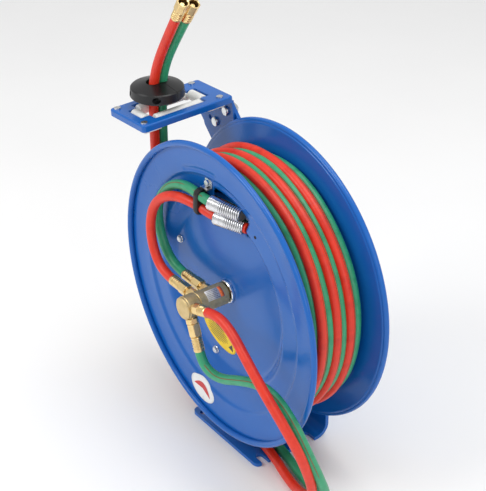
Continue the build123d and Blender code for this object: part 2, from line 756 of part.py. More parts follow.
# supply lines: from the manifold down past the front rim, over the base, to the free ends
FLOOR = HOSE_D / 2 - H
OVER = FLOOR + PLATE + 1.2
FUEL_IN = [at(41.5, INLET_Y, 12.7), at(58.7, INLET_Y, 18.0), at(78, -93.8, 15.2), at(97.4, -94.2, 6.0),
           at(123.0, -97.0, -12.1), at(152.4, -98.2, -37.6), at(176.8, -91.5, -73.4),
           at(192.7, -79.5, -116.1), at(197, -64, -160), at(191, -52, -190), at(173, -42, -212),
           at(146, -34.5, FLOOR),
           at(115, -29, FLOOR), at(84, -23, OVER), at(28, -14, OVER), at(-32, -10, OVER),
           at(-86, -12, OVER), at(-126, -6, FLOOR), at(-161, 14, FLOOR), at(-185, 47, FLOOR),
           at(-188, 87, FLOOR), at(-168, 122, FLOOR), at(-131, 140, FLOOR), at(-86, 142, FLOOR)]
OXY_IN = [at(21.3, INLET_Y, -55.5), at(26.8, -94.2, -69.8), at(42.2, -92.4, -78.5),
          at(64.9, -89.9, -76.0), at(98.8, -89.6, -57.4), at(134.4, -87.2, -42.5),
          at(160.8, -78.5, -51.7), at(186, -72, -79), at(203.2, -63.5, -117.7), at(210, -51, -156),
          at(204, -36, -190),
          at(184, -24, -215), at(155, -17, FLOOR), at(122, -12, FLOOR), at(84, -7.5, OVER),
          at(28, 1.5, OVER), at(-32, 5, OVER), at(-86, 3.5, OVER), at(-121, 10, FLOOR),
          at(-150, 29, FLOOR), at(-165, 58, FLOOR), at(-161, 89, FLOOR), at(-138, 111, FLOOR),
          at(-106, 117, FLOOR), at(-68, 117, FLOOR)]
fuel_inlet_hose = hose_tube(FUEL_IN, "fuel_inlet_hose")
oxygen_inlet_hose = hose_tube(OXY_IN, "oxygen_inlet_hose")

# short lines on the drum, from the swivel to the slot in the front disc
FUEL_WHIP = [at(-64.5, WHIP_FUEL_Y, 0), at(-84, WHIP_FUEL_Y, 2.0), at(-100.5, -75.8, 14),
             at(-111.5, -75.3, 34), at(-115, -74.5, 60), at(-108, -73, 88), at(-88, -70.5, 110),
             at(-58, -66, 121.5), at(-26, -58.5, 119.5), at(2, -52.0, 113.5),
             at(28, -47.0, 116.0), at(54, -42.0, 117.3)]
OXY_WHIP = [at(-66.5, WHIP_OXY_Y, 0), at(-88, WHIP_OXY_Y, 1.5), at(-107, -54.8, 12),
            at(-120, -55, 31), at(-125, -56.2, 57), at(-119, -58.5, 84), at(-102, -59, 109),
            at(-77, -59, 129), at(-46, -59, 138), at(-14, -57.6, 133.6),
            at(16, -52.5, 132.8), at(46, -47.0, 134.6)]
fuel_whip_hose = hose_tube(FUEL_WHIP, "fuel_whip_hose")
oxygen_whip_hose = hose_tube(OXY_WHIP, "oxygen_whip_hose")


# steel spring guards around the short lines where they enter the disc
with BuildPart() as hose_guards:
    for a, b in ((at(4, -51.6, 114.2), at(49, -43.0, 117.1)),
                 (at(0, -55.2, 133.1), at(43, -47.5, 134.4))):
        d = Vector(*b) - Vector(*a)
        with BuildSketch(Plane(a, z_dir=d)):
            Circle(8.7)
            Circle(7.1, mode=Mode.SUBTRACT)
        extrude(amount=d.length)
hose_guards.part.label = "hose_guards"
export_step(hose_guards.part, "parts/hose_guards.step")

# cushioned clamp round both short lines, and its tab on the disc
with BuildPart() as hose_clamp:
    with BuildSketch(Plane(origin=at(-27, 0, 0), x_dir=(0, 1, 0), z_dir=(1, 0, 0))):
        with Locations((-57.9, 126.9)):
            SlotOverall(36.0, 17.6, rotation=87)
            SlotOverall(33.2, 14.8, rotation=87, mode=Mode.SUBTRACT)
    extrude(amount=8)
hose_clamp.part.label = "hose_clamp"
export_step(hose_clamp.part, "parts/hose_clamp.step")

with BuildPart() as clamp_bracket:
    with BuildSketch(face(-Y_RING, -18, 150)):
        RectangleRounded(14, 12, 2)
    extrude(amount=1.6)
    with BuildSketch(face(-Y_RING, -18, 145.4)):
        Rectangle(14, 1.6)
    extrude(amount=9)
    with BuildSketch(face(-Y_RING, -18, 151)):
        Circle(2.6)
    extrude(amount=4, mode=Mode.SUBTRACT)
clamp_bracket.part.label = "clamp_bracket"
export_step(clamp_bracket.part, "parts/clamp_bracket.step")

with BuildPart() as clamp_screw:
    with BuildSketch(face(-Y_RING - 1.6, -18, 151)):
        RegularPolygon(4, 6, major_radius=False, rotation=30)
    extrude(amount=3.4)
    with BuildSketch(face(-Y_RING, -18, 151)):
        Circle(2.5)
    extrude(amount=1.6)
clamp_screw.part.label = "clamp_screw"
export_step(clamp_screw.part, "parts/clamp_screw.step")

# ---------------------------------------------------------------- ball stop
BALL = (-167.0, -22.6)
BALL_Z = 199.6
SEAM = 15.0          # degrees, direction of the split between the halves
sv = (math.cos(math.radians(SEAM)), math.sin(math.radians(SEAM)))
BALL_PLANE = Plane(origin=at(BALL[0], BALL[1], BALL_Z), x_dir=(sv[0], sv[1], 0), z_dir=(0, 0, 1))
BALL_SIDE = Plane(origin=at(BALL[0], BALL[1], BALL_Z), x_dir=(sv[0], sv[1], 0),
                  z_dir=(sv[1], -sv[0], 0))


def ball_half(name, side):
    with BuildPart() as half:
        with BuildSketch(BALL_SIDE):
            with BuildLine():
                Polyline((0, 0), (19, 0), (21, 1), (34.2, 7.4), (35.5, 9), (34.6, 19.2), (33.2, 20.6),
                         (14, 27.2), (12, 27.6), (0, 27.6), close=True)
            make_face()
        revolve(axis=Axis(BALL_SIDE.origin, (0, 0, 1)))
        # passage for the two lines
        with BuildSketch(Plane(origin=at(BALL[0] + 0.8, BALL[1] - 0.2, BALL_Z - 1),
                               x_dir=(0, 1, 0), z_dir=(0, 0, 1))):
            SlotOverall(30.4, 18.4)
        extrude(amount=30, mode=Mode.SUBTRACT)
        # recessed screw holes square to the split
        with BuildSketch(BALL_SIDE.offset(-40)):
            with Locations((22.5, 14), (-22.5, 14)):
                Circle(2.6)
        extrude(amount=80, mode=Mode.SUBTRACT)
        for s in (-1, 1):
            with BuildSketch(BALL_SIDE.offset(s * 15)):
                with Locations((22.5, 14), (-22.5, 14)):
                    Circle(4.2)
            extrude(amount=s * 25, mode=Mode.SUBTRACT)
        # keep one side of the split
        with BuildSketch(BALL_SIDE.offset(side * 0.25)):
            with Locations((0, 14)):
                Rectangle(90, 60)
        extrude(amount=-side * 45, mode=Mode.SUBTRACT)
    half.part.label = name
    export_step(half.part, f"parts/{name}.step")
    return half


ball_stop_front = ball_half("ball_stop_front", 1)
ball_stop_rear = ball_half("ball_stop_rear", -1)

with BuildPart() as ball_screws:
    for s in (-1, 1):
        with BuildSketch(BALL_SIDE.offset(-17.5)):
            with Locations((s * 22.5, 14)):
                Circle(2.5)
        extrude(amount=35)
        with BuildSketch(BALL_SIDE.offset(15.1)):
            with Locations((s * 22.5, 14)):
                Circle(4.1)
        extrude(amount=3)
        with BuildSketch(BALL_SIDE.offset(-15.1)):
            with Locations((s * 22.5, 14)):
                RegularPolygon(3.4, 6, major_radius=False, rotation=30)
        extrude(amount=-3)
ball_screws.part.label = "ball_screws"
export_step(ball_screws.part, "parts/ball_screws.step")


# ---------------------------------------------------------------- free hose ends
def hose_end(points):
    """Plane at the free end of a hose, facing on along it."""
    a, b = Vector(*points[-2]), Vector(*points[-1])
    d = (b - a).normalized()
    side = d.cross(Vector(0, 0, 1) if abs(d.Z) < 0.9 else Vector(1, 0, 0)).normalized()
    return Plane(origin=b, x_dir=side, z_dir=d)


FERRULE_L, NIPPLE_L, NUT_L = 16.5, 11.0, 15.0


def ferrules(lines, name):
    """Crimped ferrule with its nipple and the nipple's ball nose, one per line."""
    with BuildPart() as group:
        for points in lines:
            p = hose_end(points)
            with BuildSketch(p):
                Circle(6.9)
            extrude(amount=FERRULE_L)
            with BuildSketch(p.offset(FERRULE_L)):
                Circle(4.0)
            extrude(amount=NIPPLE_L)
    group.part.label = name
    export_step(group.part, f"parts/{name}.step")
    return group


def end_nut(points, name):
    """Free-turning hex nut: close on the nipple behind, open thread bore in front."""
    p = hose_end(points)
    with BuildPart() as nut:
        with BuildSketch(p.offset(FERRULE_L + 0.4)):
            RegularPolygon(NUT_AF / 2, 6, major_radius=False, rotation=30)
        extrude(amount=NUT_L)
        with BuildSketch(p.offset(FERRULE_L + 0.3)):
            Circle(4.0 + FIT)
        extrude(amount=NUT_L + 1, mode=Mode.SUBTRACT)
        with BuildSketch(p.offset(FERRULE_L + 7)):
            Circle(5.6)
        extrude(amount=NUT_L + 1, mode=Mode.SUBTRACT)
    nut.part.label = name
    export_step(nut.part, f"parts/{name}.step")
    c = p.origin + p.z_dir * (FERRULE_L + 0.4 + NUT_L)
    print(f"{name}: mouth at ({c.X:.2f}, {c.Y:.2f}, {c.Z:.2f}) axis "
          f"({p.z_dir.X:.4f}, {p.z_dir.Y:.4f}, {p.z_dir.Z:.4f})")
    return nut


outlet_ferrules = ferrules([FUEL_OUT, OXY_OUT], "outlet_ferrules")
supply_ferrules = ferrules([FUEL_IN, OXY_IN], "supply_ferrules")
fuel_outlet_nut = end_nut(FUEL_OUT, "fuel_outlet_nut")
oxygen_outlet_nut = end_nut(OXY_OUT, "oxygen_outlet_nut")
fuel_supply_nut = end_nut(FUEL_IN, "fuel_supply_nut")
oxygen_supply_nut = end_nut(OXY_IN, "oxygen_supply_nut")

print("guide axes X", GX, "Y", GY, "Z", GZ)
for n, q in (("left", gpt(-LONG_X, 0, ROLL_Z)), ("right", gpt(LONG_X, 0, ROLL_Z)),
             ("front", gpt(0, -SHORT_Y, ROLL_Z)), ("back", gpt(0, SHORT_Y, ROLL_Z))):
    print("roller", n, q)
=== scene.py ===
import math
import bpy
import bmesh
from mathutils import Matrix, Vector


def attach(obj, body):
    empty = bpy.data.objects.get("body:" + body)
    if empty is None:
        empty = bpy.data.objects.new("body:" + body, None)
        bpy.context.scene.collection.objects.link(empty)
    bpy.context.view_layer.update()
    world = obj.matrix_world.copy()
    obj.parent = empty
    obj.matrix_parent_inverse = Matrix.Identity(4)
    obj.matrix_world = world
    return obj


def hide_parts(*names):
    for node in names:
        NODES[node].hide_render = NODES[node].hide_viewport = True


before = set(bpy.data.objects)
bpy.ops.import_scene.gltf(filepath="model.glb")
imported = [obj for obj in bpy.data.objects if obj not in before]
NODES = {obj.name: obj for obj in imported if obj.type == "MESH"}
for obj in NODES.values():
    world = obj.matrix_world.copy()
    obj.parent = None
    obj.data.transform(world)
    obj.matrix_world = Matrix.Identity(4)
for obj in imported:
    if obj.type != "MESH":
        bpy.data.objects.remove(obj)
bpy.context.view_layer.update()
H = 0.232            # height of the reel's axis

# ------------------------------------------------------------------ camera
cam_data = bpy.data.cameras.new("camera")
cam_data.sensor_width = 36.0
cam_data.sensor_fit = "AUTO"
cam_data.lens = 98.98
cam_data.shift_x = 0.0003
cam_data.shift_y = 0.0003
cam_data.clip_start = 0.05
cam_data.clip_end = 50.0
cam = bpy.data.objects.new("camera", cam_data)
r2, u2, b = ((0.588034, 0.808791, -0.008573), (-0.405934, 0.304271, 0.861764),
             (0.699595, -0.503266, 0.507238))
cam.matrix_world = Matrix(((r2[0], u2[0], b[0], 1.1809), (r2[1], u2[1], b[1], -0.8604),
                           (r2[2], u2[2], b[2], 0.9142 + H), (0, 0, 0, 1)))
bpy.context.scene.collection.objects.link(cam)
bpy.context.scene.camera = cam


# ------------------------------------------------------------------ materials
def material(name, colours, rough, metal=0.0, spot=40.0, grain=900.0, bump=0.1, bump_depth=0.0002,
             coat=0.0, rough_spread=0.08, spec=0.5, stretch=(1, 1, 1), aniso=0.0):
    """Procedural surface: two or three related colours in soft patches, a fine grain in the
    bump, and a roughness that wanders a little."""
    m = bpy.data.materials.new(name)
    m.use_nodes = True
    t = m.node_tree
    bsdf = t.nodes["Principled BSDF"]
    coord = t.nodes.new("ShaderNodeTexCoord")
    mapping = t.nodes.new("ShaderNodeMapping")
    mapping.inputs["Scale"].default_value = stretch
    t.links.new(coord.outputs["Object"], mapping.inputs["Vector"])
    patches = t.nodes.new("ShaderNodeTexNoise")
    patches.inputs["Scale"].default_value = spot
    patches.inputs["Detail"].default_value = 5.0
    t.links.new(mapping.outputs["Vector"], patches.inputs["Vector"])
    ramp = t.nodes.new("ShaderNodeValToRGB")
    ramp.color_ramp.elements[0].position = 0.3
    ramp.color_ramp.elements[1].position = 0.7
    ramp.color_ramp.elements[0].color = (*colours[0], 1)
    ramp.color_ramp.elements[1].color = (*colours[-1], 1)
    if len(colours) == 3:
        mid = ramp.color_ramp.elements.new(0.5)
        mid.color = (*colours[1], 1)
    t.links.new(patches.outputs["Fac"], ramp.inputs["Fac"])
    t.links.new(ramp.outputs["Color"], bsdf.inputs["Base Color"])
    spread = t.nodes.new("ShaderNodeMapRange")
    spread.inputs["To Min"].default_value = max(0.02, rough - rough_spread)
    spread.inputs["To Max"].default_value = rough + rough_spread
    t.links.new(patches.outputs["Fac"], spread.inputs["Value"])
    t.links.new(spread.outputs["Result"], bsdf.inputs["Roughness"])
    fine = t.nodes.new("ShaderNodeTexNoise")
    fine.inputs["Scale"].default_value = grain
    fine.inputs["Detail"].default_value = 3.0
    t.links.new(mapping.outputs["Vector"], fine.inputs["Vector"])
    relief = t.nodes.new("ShaderNodeBump")
    relief.inputs["Strength"].default_value = bump
    relief.inputs["Distance"].default_value = bump_depth
    t.links.new(fine.outputs["Fac"], relief.inputs["Height"])
    t.links.new(relief.outputs["Normal"], bsdf.inputs["Normal"])
    bsdf.inputs["Metallic"].default_value = metal
    bsdf.inputs["Coat Weight"].default_value = coat
    bsdf.inputs["Coat Roughness"].default_value = 0.12
    bsdf.inputs["Specular IOR Level"].default_value = spec
    bsdf.inputs["Anisotropic"].default_value = aniso
    return m


BLUE = material("blue_paint", [(0.003, 0.105, 0.43), (0.006, 0.124, 0.48), (0.004, 0.114, 0.455)], 0.25,
                spot=9, grain=420, bump=0.14, bump_depth=0.0004, coat=0.22, spec=0.32)
RED = material("red_hose", [(0.62, 0.020, 0.006), (0.76, 0.033, 0.009), (0.69, 0.026, 0.0075)], 0.42,
               spot=60, grain=700, bump=0.30, bump_depth=0.0004, coat=0.05)
GREEN = material("green_hose", [(0.018, 0.255, 0.115), (0.034, 0.345, 0.165), (0.026, 0.300, 0.140)], 0.40,
                 spot=60, grain=700, bump=0.30, bump_depth=0.0004, coat=0.05)
WEB = material("hose_web", [(0.16, 0.085, 0.03), (0.25, 0.12, 0.05)], 0.6, spot=80)
BRASS = material("bright_brass", [(0.78, 0.55, 0.23), (0.88, 0.66, 0.32), (0.83, 0.61, 0.28)], 0.29,
                 metal=1.0, spot=90, grain=1500, bump=0.18, bump_depth=0.0001)
BRASS_DARK = material("aged_brass", [(0.50, 0.36, 0.15), (0.70, 0.53, 0.26), (0.60, 0.45, 0.20)], 0.42,
                      metal=0.72, spot=70, grain=1200, bump=0.25, bump_depth=0.00015, rough_spread=0.12)
# painted shade: dark brass for the faces inside nut bores, standing in for the shade that falls in the bore
BRASS_SHADE = material("brass_bore_painted_shade", [(0.20, 0.12, 0.035), (0.28, 0.17, 0.06)], 0.5, metal=1.0)
ZINC = material("zinc", [(0.60, 0.62, 0.64), (0.78, 0.79, 0.80)], 0.26, metal=1.0, spot=160, grain=1600,
                bump=0.15, bump_depth=0.0001)
STEEL = material("steel", [(0.40, 0.41, 0.43), (0.55, 0.56, 0.58)], 0.34, metal=1.0, spot=120,
                 stretch=(1, 1, 8), bump=0.2, bump_depth=0.0001)
SPRING = material("spring_wire", [(0.66, 0.67, 0.69), (0.84, 0.85, 0.87)], 0.18, metal=1.0, spot=200)
# painted shade: dark grey for a sleeve inside each spring guard, standing in for the shade inside the coil
GUARD_SHADE = material("guard_inner_painted_shade", [(0.16, 0.165, 0.17), (0.26, 0.27, 0.28)], 0.5, metal=0.6, spot=150)
CHROME = material("chrome", [(0.86, 0.87, 0.89), (0.92, 0.93, 0.95)], 0.08, metal=1.0, spot=30,
                  rough_spread=0.03, bump=0.04)
NYLON = material("white_nylon", [(0.80, 0.80, 0.77), (0.88, 0.88, 0.86)], 0.46, spot=70, grain=800,
                 bump=0.12, bump_depth=0.0002)
BLACK = material("black_rubber", [(0.006, 0.006, 0.007), (0.012, 0.012, 0.013)], 0.34, spot=60,
                 grain=1100, bump=0.35, bump_depth=0.0002, rough_spread=0.10)
# painted shade: near-black film laid over the hole in the front disc, standing in for the shade inside it
HOLE_SHADE = material("hole_painted_shade", [(0.006, 0.006, 0.007), (0.012, 0.012, 0.012)], 0.8)
BUSH = material("bronze", [(0.36, 0.22, 0.09), (0.48, 0.31, 0.14)], 0.38, metal=1.0)
WHITE = material("sticker_white", [(0.82, 0.82, 0.80), (0.90, 0.90, 0.89)], 0.30, spot=50, bump=0.05)
SWOOSH = material("sticker_red", [(0.55, 0.03, 0.03), (0.68, 0.05, 0.04)], 0.32, spot=50, bump=0.05)
YELLOW = material("sticker_yellow", [(0.84, 0.56, 0.012), (0.93, 0.66, 0.025)], 0.36, spot=50, bump=0.05,
                  spec=0.3)
INK = material("sticker_ink", [(0.02, 0.02, 0.02), (0.05, 0.05, 0.05)], 0.4, spot=50, bump=0.05)
FOIL = material("label_foil", [(0.46, 0.46, 0.47), (0.60, 0.60, 0.61)], 0.40, metal=0.25, spot=90)
FOIL_INK = material("label_lines", [(0.16, 0.16, 0.18), (0.24, 0.24, 0.26)], 0.4, metal=0.3)
ORANGE = material("label_orange", [(0.72, 0.11, 0.02), (0.82, 0.17, 0.04)], 0.32)


# ------------------------------------------------------------------ mesh helpers
def add(obj):
    bpy.context.scene.collection.objects.link(obj)
    return obj


def finish_mesh(bm, name, mat, sharp=34.0):
    """Smooth shading with creases kept where faces meet at more than a set angle."""
    bmesh.ops.recalc_face_normals(bm, faces=bm.faces)
    for f in bm.faces:
        f.smooth = True
    for e in bm.edges:
        if len(e.link_faces) == 2 and e.calc_face_angle(0.0) > math.radians(sharp):
            e.smooth = False
    me = bpy.data.meshes.new(name)
    bm.to_mesh(me)
    bm.free()
    o = bpy.data.objects.new(name, me)
    for m in (mat if isinstance(mat, (list, tuple)) else [mat]):
        me.materials.append(m)
    return add(o)


def axes(direction):
    w = Vector(direction).normalized()
    u = w.cross(Vector((0, 0, 1)) if abs(w.z) < 0.9 else Vector((1, 0, 0))).normalized()
    return u, w.cross(u), w


def shell(bm, origin, direction, rings, n=72, spin=0.0):
    """Skin of rings along a direction. Each ring is (distance, radius or function of angle)."""
    u, v, w = axes(direction)
    o = Vector(origin)
    rows = []
    for t, r in rings:
        row = []
        for k in range(n):
            a = 2 * math.pi * k / n
            rr = r(a) if callable(r) else r
            row.append(bm.verts.new(o + w * t + (u * math.cos(a + spin) + v * math.sin(a + spin)) * rr))
        rows.append(row)
    for p, q in zip(rows, rows[1:]):
        for k in range(n):
            bm.faces.new((p[k], p[(k + 1) % n], q[(k + 1) % n], q[k]))
    return rows


def turned(name, origin, direction, profile, mat, n=72, sharp=34.0, closed=True):
    """Solid of revolution from (distance, radius) pairs."""
    bm = bmesh.new()
    rows = shell(bm, origin, direction, profile, n)
    if closed:
        for row in (rows[0], rows[-1]):
            bm.faces.new(row)
    return finish_mesh(bm, name, mat, sharp)


def hexed(name, origin, direction, af, length, mat, bore=None, depth=None, spin=0.0, chamfer=0.0011):
    """Hex nut with turned chamfers at both ends, and an open bore where one is given; the faces inside the bore
    take the darker brass of painted shade.
    """
    half = af / 2

    def hexr(a):
        a = a % (math.pi / 3) - math.pi / 6
        return min(half / math.cos(a), half * 1.135)

    def cone(limit):
        return lambda a: min(hexr(a), limit)

    rings = []
    for k in range(6):
        t = chamfer * k / 5
        rings.append((t, cone(half * 0.965 + t * 1.75)))
    back = [(length - t, f) for t, f in reversed(rings)]
    bm = bmesh.new()
    rows = shell(bm, origin, direction, rings + back, 96, spin)
    bm.faces.new(rows[0])
    if bore is None:
        bm.faces.new(rows[-1])
    else:
        inner = shell(bm, origin, direction,
                      [(length, bore + 0.0009), (length - 0.0009, bore), (length - depth, bore),
                       (length - depth - 0.002, 0.0034), (length - depth - 0.002, 0.00012)], 96, spin)
        for k in range(96):
            j = (k + 1) % 96
            bm.faces.new((rows[-1][k], rows[-1][j], inner[0][j], inner[0][k]))
        bm.faces.new(inner[-1])
    o = finish_mesh(bm, name, [mat, BRASS_SHADE], 26.0)
    # painted shade: faces inside the bore, past its chamfered mouth, take the darker brass
    if bore is not None:
        c, w = Vector(origin), Vector(direction).normalized()
        for f in o.data.polygons:
            d = f.center - c
            along = d.dot(w)
            if (d - w * along).length < bore * 1.02 and along > 0.001 and along < length - 0.0012:
                f.material_index = 1
    return o


def ferrule(name, origin, direction, length, mat, r=0.0069, nipple=0.0):
    """Crimped ferrule: shallow rings pressed in along its length, then its nipple."""
    profile = [(0.0, 0.00645), (0.0004, r - 0.0003), (0.0012, r + 0.0002), (0.0024, r + 0.0002)]
    count = max(3, int(length / 0.0042))
    for k in range(count):
        c = 0.0034 + (length - 0.0062) * (k + 0.5) / count
        profile += [(c - 0.0012, r + 0.0002), (c - 0.0006, r - 0.0005), (c + 0.0006, r - 0.0005),
                    (c + 0.0012, r + 0.0002)]
    profile += [(length - 0.0012, r + 0.0001), (length - 0.0002, r - 0.0010), (length, 0.0052)]
    if nipple:
        profile += [(length + 0.0006, 0.0040), (length + nipple - 0.0016, 0.0040), (length + nipple, 0.0026)]
    return turned(name, origin, direction, profile, mat, 64, 40)


def strand(name, points, mat, radius, order=3, resolution=8, bevel=6):
    """Round strand on one open NURBS curve."""
    cu = bpy.data.curves.new(name, "CURVE")
    cu.dimensions = "3D"
    sp = cu.splines.new("NURBS")
    sp.points.add(len(points) - 1)
    for p, q in zip(sp.points, points):
        p.co = (q[0], q[1], q[2], 1.0)
    sp.order_u = order
    sp.use_endpoint_u = True
    sp.resolution_u = resolution
    cu.bevel_depth = radius
    cu.bevel_resolution = bevel
    cu.use_fill_caps = True
    cu.materials.append(mat)
    return add(bpy.data.objects.new(name, cu))


def at(x, y, z):
    """Point in millimetres about the reel's axis, to metres in the frame."""
    return (x / 1000, y / 1000, z / 1000 + H)


# ------------------------------------------------------------------ cords
FLOOR, OVER = -225.65, -219.45
FUEL_OUT = [at(-168, -29.2, 0), at(-168, -29.2, 100), at(-167.4, -29.2, 212),
            at(-158, -29.3, 246), at(-137, -29.8, 284), at(-104, -31.0, 331.2)]
OXY_OUT = [at(-168, -16.5, 0), at(-168, -16.5, 100), at(-167.2, -16.5, 212),
           at(-158.8, -16.4, 245), at(-138, -15.8, 282), at(-109.2, -14.0, 323.7)]
FUEL_IN = [at(41.5, -94.5, 12.7), at(58.7, -94.5, 18.0), at(78, -93.8, 15.2), at(97.4, -94.2, 6.0),
           at(125.0, -96.6, -11.1), at(157.4, -97.2, -34.6), at(184.8, -89.5, -69.4),
           at(203.7, -77.0, -111.1), at(205, -61, -158), at(196, -50, -190), at(174, -42, -212),
           at(146, -34.5, FLOOR),
           at(115, -29, FLOOR), at(84, -23, OVER), at(28, -14, OVER), at(-32, -10, OVER),
           at(-86, -12, OVER), at(-126, -6, FLOOR), at(-161, 14, FLOOR), at(-185, 47, FLOOR),
           at(-188, 87, FLOOR), at(-168, 122, FLOOR), at(-131, 140, FLOOR), at(-86, 142, FLOOR)]
OXY_IN = [at(21.3, -94.5, -55.5), at(26.8, -94.2, -69.8), at(42.2, -92.4, -78.5),
          at(64.9, -89.9, -76.0), at(98.8, -89.6, -57.4), at(134.4, -87.2, -42.5),
          at(160.8, -78.5, -51.7), at(186, -72, -79), at(203.2, -63.5, -117.7), at(210, -51, -156),
          at(204, -36, -190),
          at(184, -24, -215), at(155, -17, FLOOR), at(122, -12, FLOOR), at(84, -7.5, OVER),
          at(28, 1.5, OVER), at(-32, 5, OVER), at(-86, 3.5, OVER), at(-121, 10, FLOOR),
          at(-150, 29, FLOOR), at(-165, 58, FLOOR), at(-161, 89, FLOOR), at(-138, 111, FLOOR),
          at(-106, 117, FLOOR), at(-68, 117, FLOOR)]
FUEL_WHIP = [at(-64.5, -75.5, 0), at(-84, -75.5, 2.0), at(-100.5, -75.8, 14),
             at(-111.5, -75.3, 34), at(-115, -74.5, 60), at(-108, -73, 88), at(-88, -70.5, 110),
             at(-58, -66, 121.5), at(-26, -58.5, 119.5), at(2, -52.0, 113.5),
             at(28, -47.0, 116.0), at(54, -42.0, 117.3)]
OXY_WHIP = [at(-66.5, -55.0, 0), at(-88, -55.0, 1.5), at(-107, -54.8, 12),
            at(-120, -55, 31), at(-125, -56.2, 57), at(-119, -58.5, 84), at(-102, -59, 109),
            at(-77, -59, 129), at(-46, -59, 138), at(-14, -57.6, 133.6),
            at(16, -52.5, 132.8), at(46, -47.0, 134.6)]
R_HOSE = 0.00635

fuel_out = strand("fuel_outlet_line", FUEL_OUT, RED, R_HOSE, resolution=16, bevel=8)
oxy_out = strand("oxygen_outlet_line", OXY_OUT, GREEN, R_HOSE, resolution=16, bevel=8)
fuel_in = strand("fuel_supply_line", FUEL_IN, RED, R_HOSE, resolution=10, bevel=8)
oxy_in = strand("oxygen_supply_line", OXY_IN, GREEN, R_HOSE, resolution=10, bevel=8)
fuel_whip = strand("fuel_drum_line", FUEL_WHIP, RED, R_HOSE, resolution=10, bevel=8)
oxy_whip = strand("oxygen_drum_line", OXY_WHIP, GREEN, R_HOSE, resolution=10, bevel=8)


def end_of(points):
    p, q = Vector(points[-2]), Vector(points[-1])
    return q, (q - p).normalized()


# free ends: crimped ferrule and open hex nut on each line
for key, pts, node in (("fuel_outlet", FUEL_OUT, "fuel_outlet_nut"),
                       ("oxygen_outlet", OXY_OUT, "oxygen_outlet_nut"),
                       ("fuel_supply", FUEL_IN, "fuel_supply_nut"),
                       ("oxygen_supply", OXY_IN, "oxygen_supply_nut")):
    c, w = end_of(pts)
    f = ferrule(key + "_ferrule", c, w, 0.0165, BRASS, nipple=0.0105)
    nut = hexed(key + "_hex", c + w * 0.0169, w, 0.0143, 0.015, BRASS, bore=0.0056, depth=0.0080,
                spin=0.4)
    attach(f, "frame")
    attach(nut, node + "_body")
    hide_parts(node)
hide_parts("outlet_ferrules")
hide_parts("outlet_ferrules")
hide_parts("supply_ferrules")
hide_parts("supply_ferrules")

def web_line(name, route, first, last, towards, body):
    """Thin line of torn web along part of a hose, on the side that faces a direction."""
    look = Vector(towards).normalized()
    pts = []
    for k in range(first, last + 1):
        t = (Vector(route[k + 1]) - Vector(route[k - 1])).normalized()
        v = (look - t * look.dot(t)).normalized()
        pts.append(Vector(route[k]) + v * (R_HOSE - 0.0001))
    o = strand(name, pts, WEB, 0.0006, resolution=10, bevel=3)
    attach(o, body)
    return o


supply_web = web_line("web_oxygen_supply", OXY_IN, 1, 10, (0.70, -0.50, 0.62), "frame")
web_line("web_oxygen_drum_line", OXY_WHIP, 5, 9, (0.45, -0.6, 0.75), "drum")

for piece, node, slot_name in ((fuel_out, "fuel_outlet_hose", "hose_red"),
                               (oxy_out, "oxygen_outlet_hose", "hose_green"),
                               (fuel_in, "fuel_inlet_hose", "hose_red"),
                               (oxy_in, "oxygen_inlet_hose", "hose_green")):
    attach(piece, "frame")
    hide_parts(node)
for piece, node, slot_name in ((fuel_whip, "fuel_whip_hose", "hose_red"),
                               (oxy_whip, "oxygen_whip_hose", "hose_green")):
    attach(piece, "drum")
    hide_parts(node)


# ------------------------------------------------------------------ the winding
def ease(t):
    t = max(0.0, min(1.0, t))
    return t * t * (3 - 2 * t)


def winding(name, mat, y0, pitch, r, start, turns, ends=(0.0, 0.0), enter=None,
            proud=0.0):
    """One strand of the twin hose in its layer. Its ends sink into the layer below, and its first
    turn may stand proud of it."""
    pts = []
    steps = int(turns * 40)
    for k in range(steps + 1):
        f = k / steps
        a = start + turns * 2 * math.pi * f
        y = y0 + pitch * turns * f
        rr = r
        if enter is not None:
            rr = enter + (r - enter) * ease(f * turns * 6)
        rr += proud * (1 - ease((f * turns - 0.97) / 0.12))
        rr -= ends[0] * (1 - ease(f * turns * 9))
        rr -= ends[1] * (1 - ease((1 - f) * turns * 9))
        rr += 0.0006 * math.sin(a * 3.1 + y0 * 700) + 0.0004 * math.sin(a * 7.3)
        y += 0.0005 * math.sin(a * 2.3 + y0 * 300)
        wall = 0.0384 + 0.0030 * ease((rr - 0.1635) / 0.0060)
        y = max(-wall, min(wall, y))
        pts.append((rr * math.cos(a), y, H + rr * math.sin(a)))
    o = strand(name, pts, mat, R_HOSE, order=4, resolution=4, bevel=6)
    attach(o, "drum")
    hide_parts("hose_pack")
    return o


def web(name, y0, pitch, r, start, turns, ends=(0.0, 0.0), enter=None, side=1):
    """Torn edge of the web along a strand: a thin line on the outer side of the hose."""
    pts = []
    steps = int(turns * 40)
    for k in range(steps + 1):
        f = k / steps
        a = start + turns * 2 * math.pi * f
        y = y0 + pitch * turns * f
        rr = r
        if enter is not None:
            rr = enter + (r - enter) * ease(f * turns * 6)
        rr -= ends[0] * (1 - ease(f * turns * 9))
        rr -= ends[1] * (1 - ease((1 - f) * turns * 9))
        rr += 0.0006 * math.sin(a * 3.1 + y0 * 700) + 0.0004 * math.sin(a * 7.3)
        y += 0.0005 * math.sin(a * 2.3 + y0 * 300)
        wall = 0.0384 + 0.0030 * ease((rr - 0.1635) / 0.0060)
        y = max(-wall, min(wall, y))
        lean = side * (0.30 + 0.06 * math.sin(a * 5.0))
        rr += (R_HOSE - 0.0002) * math.cos(lean)
        y += (R_HOSE - 0.0002) * math.sin(lean)
        pts.append((rr * math.cos(a), y, H + rr * math.sin(a)))
    o = strand(name, pts, WEB, 0.0004, order=4, resolution=4, bevel=3)
    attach(o, "drum")
    return o


